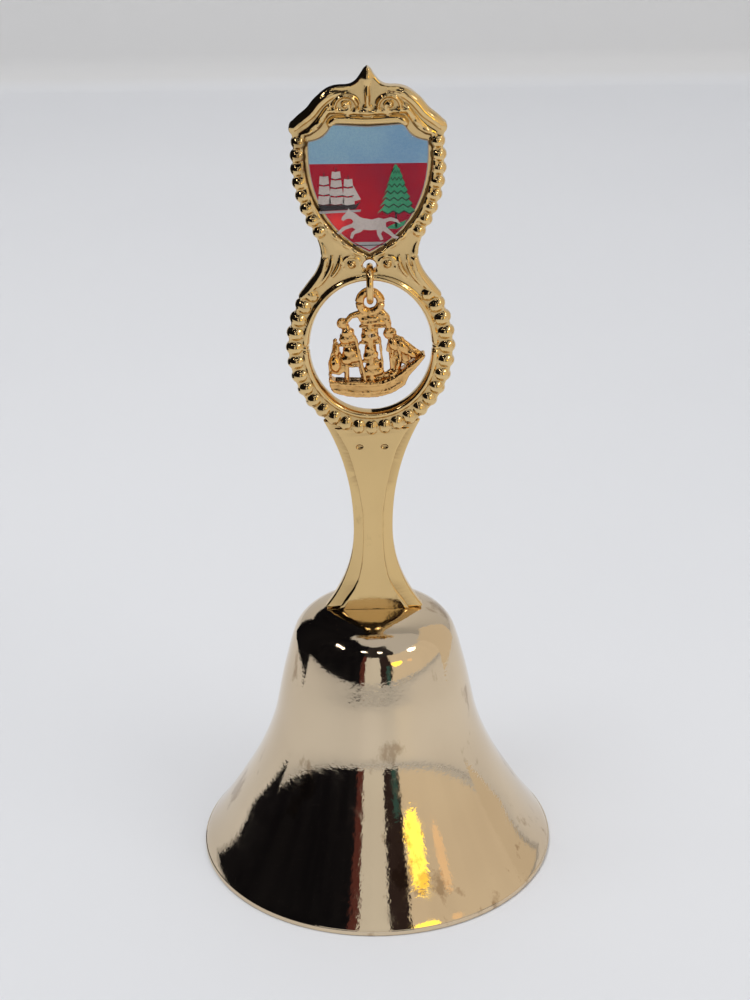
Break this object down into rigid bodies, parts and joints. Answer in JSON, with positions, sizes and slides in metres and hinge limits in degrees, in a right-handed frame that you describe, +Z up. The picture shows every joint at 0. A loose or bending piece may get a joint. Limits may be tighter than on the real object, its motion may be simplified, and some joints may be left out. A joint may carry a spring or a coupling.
{
  "type": "hand bell",
  "caption": "Small metal hand bell: flared spun cup, flat ornamental cast handle with a shield emblem under a clear dome, a ship charm hanging in its ring, and a hanging clapper.",
  "frame": {"origin": "centre of the mouth, in the plane that the bell stands on", "axes": "+Z up along the bell's axis, +X to the right of someone who faces the emblem, and the emblem faces -Y"},
  "size_m": [0.051, 0.051, 0.1143],
  "materials": {
    "cup_plate": "polished pale brass plate",
    "handle_plate": "bright gold plate on a die casting",
    "charm_plate": "darker gold plate with toned recesses",
    "printed_foil": "printed picture on a foil plate",
    "clear_resin": "clear domed resin",
    "zinc_steel": "zinc plated",
    "ball_plate": "brass plated, dull"
  },
  "bodies": {
    "bell": {"bell_shell": "cup_plate", "handle": "handle_plate", "emblem_plate": "printed_foil", "emblem_dome": "clear_resin", "crown_washer": "zinc_steel", "crown_nut": "zinc_steel", "clapper_eye_bolt": "zinc_steel"},
    "jump_ring": {"charm_jump_ring": "handle_plate"},
    "charm": {"ship_charm": "charm_plate"},
    "link": {"clapper_link": "zinc_steel"},
    "clapper": {"clapper_wire": "zinc_steel", "clapper_ball": "ball_plate"}
  },
  "joints": [
    {"name": "jump_ring_swing", "type": "hinge", "parent": "bell", "child": "jump_ring", "pos_m": [0, 0, 0.08566], "axis": [1, 0, 0], "range_deg": [-45, 45]},
    {"name": "charm_sway", "type": "hinge", "parent": "jump_ring", "child": "charm", "pos_m": [0, 0, 0.08339], "axis": [0, 1, 0], "range_deg": [-3.5, 3.5]},
    {"name": "clapper_link_swing", "type": "hinge", "parent": "bell", "child": "link", "pos_m": [0, 0, 0.0297], "axis": [1, 0, 0], "range_deg": [-12, 12]},
    {"name": "clapper_swing", "type": "hinge", "parent": "link", "child": "clapper", "pos_m": [0, 0, 0.02621], "axis": [0, 1, 0], "range_deg": [-38, 38]}
  ]
}
